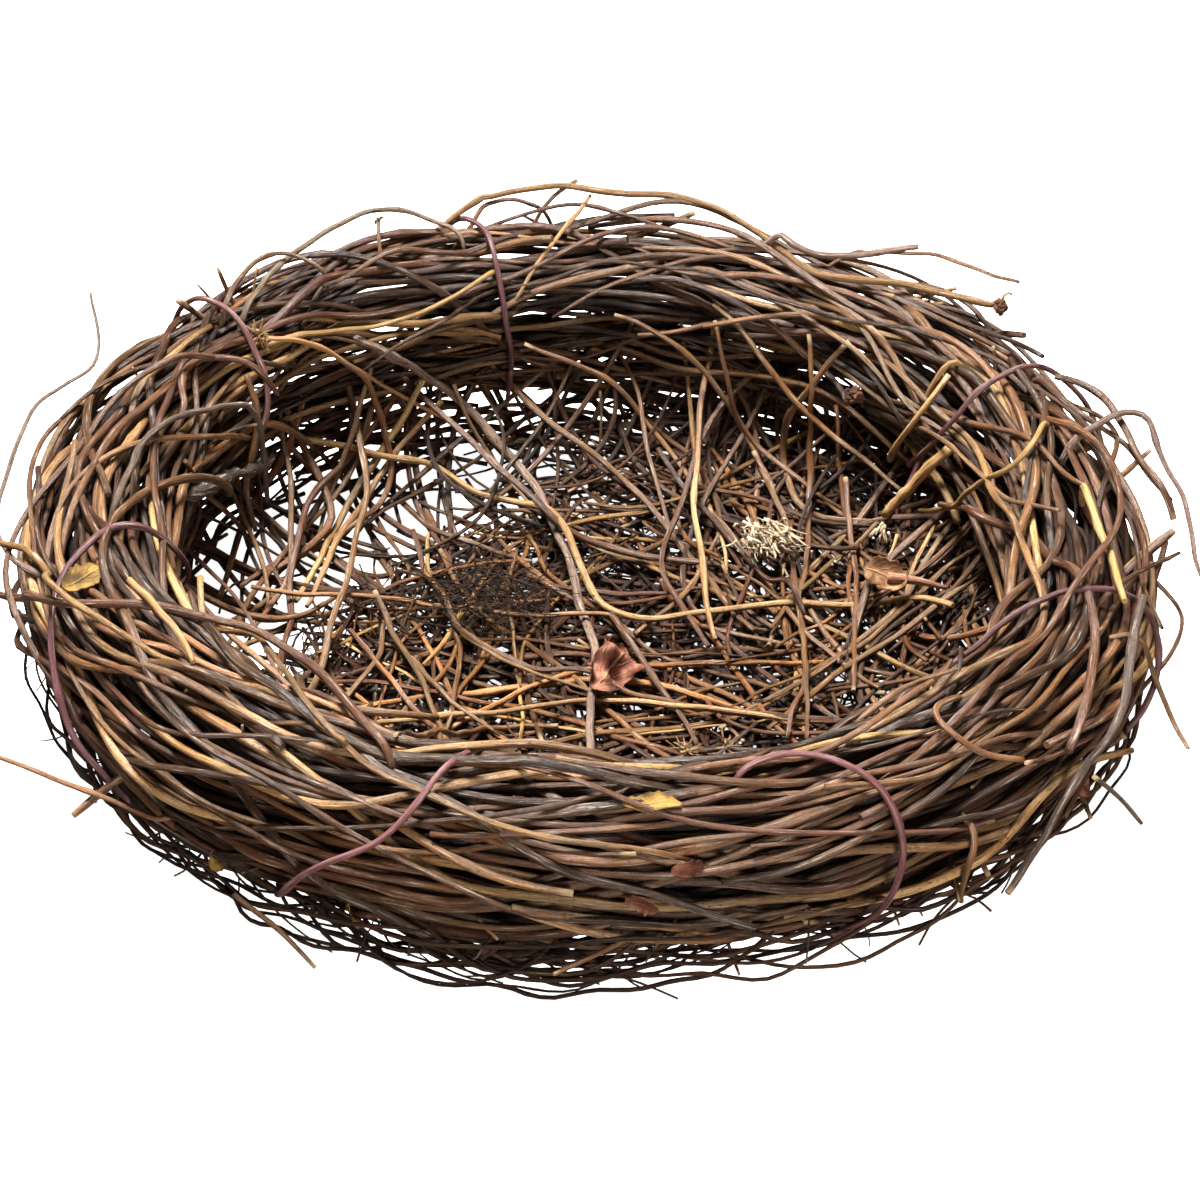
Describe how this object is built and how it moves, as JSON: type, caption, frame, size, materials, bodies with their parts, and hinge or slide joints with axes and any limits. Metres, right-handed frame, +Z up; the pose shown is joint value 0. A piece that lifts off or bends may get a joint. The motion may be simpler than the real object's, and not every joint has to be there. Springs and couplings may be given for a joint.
{
  "type": "empty bird nest",
  "caption": "Round open bird nest: a thick coiled ring of thin brown vines bound by thinner vines, an open woven wall below it and a flat twig-lined floor, empty.",
  "frame": {"origin": "middle of the flat underside, on the surface that the nest rests on", "axes": "+Z up through the open mouth; +X to the right and -Y towards the viewer of the picture"},
  "size_m": [0.1605, 0.1493, 0.0441],
  "materials": {
    "bark": "rough dark bark, matt",
    "brown_vine": "dry vine bark, matt, streaked along its length, browns from dark to tan",
    "dark_weave": "thin dark vines and roots, matt",
    "dry_leaf": "dry red-brown leaf, matt",
    "grey_vine": "weathered vine, grey brown, matt",
    "pale_fibre": "pale shredded bark and seed fibre, matt",
    "purple_vine": "smooth supple vine, purple brown, slight sheen",
    "straw": "dry straw, pale yellow, satin",
    "tan_vine": "peeled vine, light tan, satin",
    "twig_mat": "short dry twigs and rootlets, mixed browns, matt"
  },
  "bodies": {
    "root": {"back_bud": "dry_leaf", "back_green_vine": "straw", "back_left_long_arch": "grey_vine", "back_left_short_arch": "brown_vine", "back_straw_vine": "straw", "bark_scrap": "dry_leaf", "bark_twig": "bark", "binding_vine_1": "purple_vine", "binding_vine_2": "purple_vine", "binding_vine_3": "purple_vine", "binding_vine_4": "purple_vine", "binding_vine_5": "purple_vine", "binding_vine_6": "purple_vine", "binding_vine_7": "purple_vine", "budded_twig": "brown_vine", "coiled_vine_ring": "brown_vine", "crest_fork_twig": "brown_vine", "crest_knob": "bark", "crest_loop_twig": "brown_vine", "crumpled_leaf": "dry_leaf", "cut_crest_vine": "grey_vine", "floor_tan_vine": "tan_vine", "floor_twig_1": "brown_vine", "floor_twig_2": "brown_vine", "floor_twig_3": "brown_vine", "floor_twig_4": "brown_vine", "floor_twig_5": "purple_vine", "hooked_twig": "grey_vine", "inner_fork_twig": "tan_vine", "inner_left_grey_vine": "grey_vine", "inner_left_hook": "brown_vine", "knobbed_vine": "tan_vine", "left_edge_vine": "brown_vine", "left_loop_twig": "grey_vine", "left_tan_vine": "tan_vine", "long_grey_vine": "grey_vine", "long_tan_vine": "tan_vine", "lower_left_stray": "brown_vine", "lower_left_twig": "tan_vine", "lower_right_stub": "brown_vine", "lower_right_vine": "grey_vine", "open_weave_wall": "dark_weave", "pale_straw": "straw", "right_drooping_twig": "brown_vine", "right_long_arch": "grey_vine", "right_mid_arch": "brown_vine", "right_return_twig": "brown_vine", "right_straw_loop": "straw", "right_stub_twig": "brown_vine", "right_thin_arch": "brown_vine", "right_yellow_straw": "straw", "root_clump": "bark", "seed_tuft": "pale_fibre", "split_branch": "brown_vine", "split_branch_splinter": "pale_fibre", "split_stem": "straw", "thin_crest_twig": "brown_vine", "twig_lining": "twig_mat"}
  },
  "joints": []
}
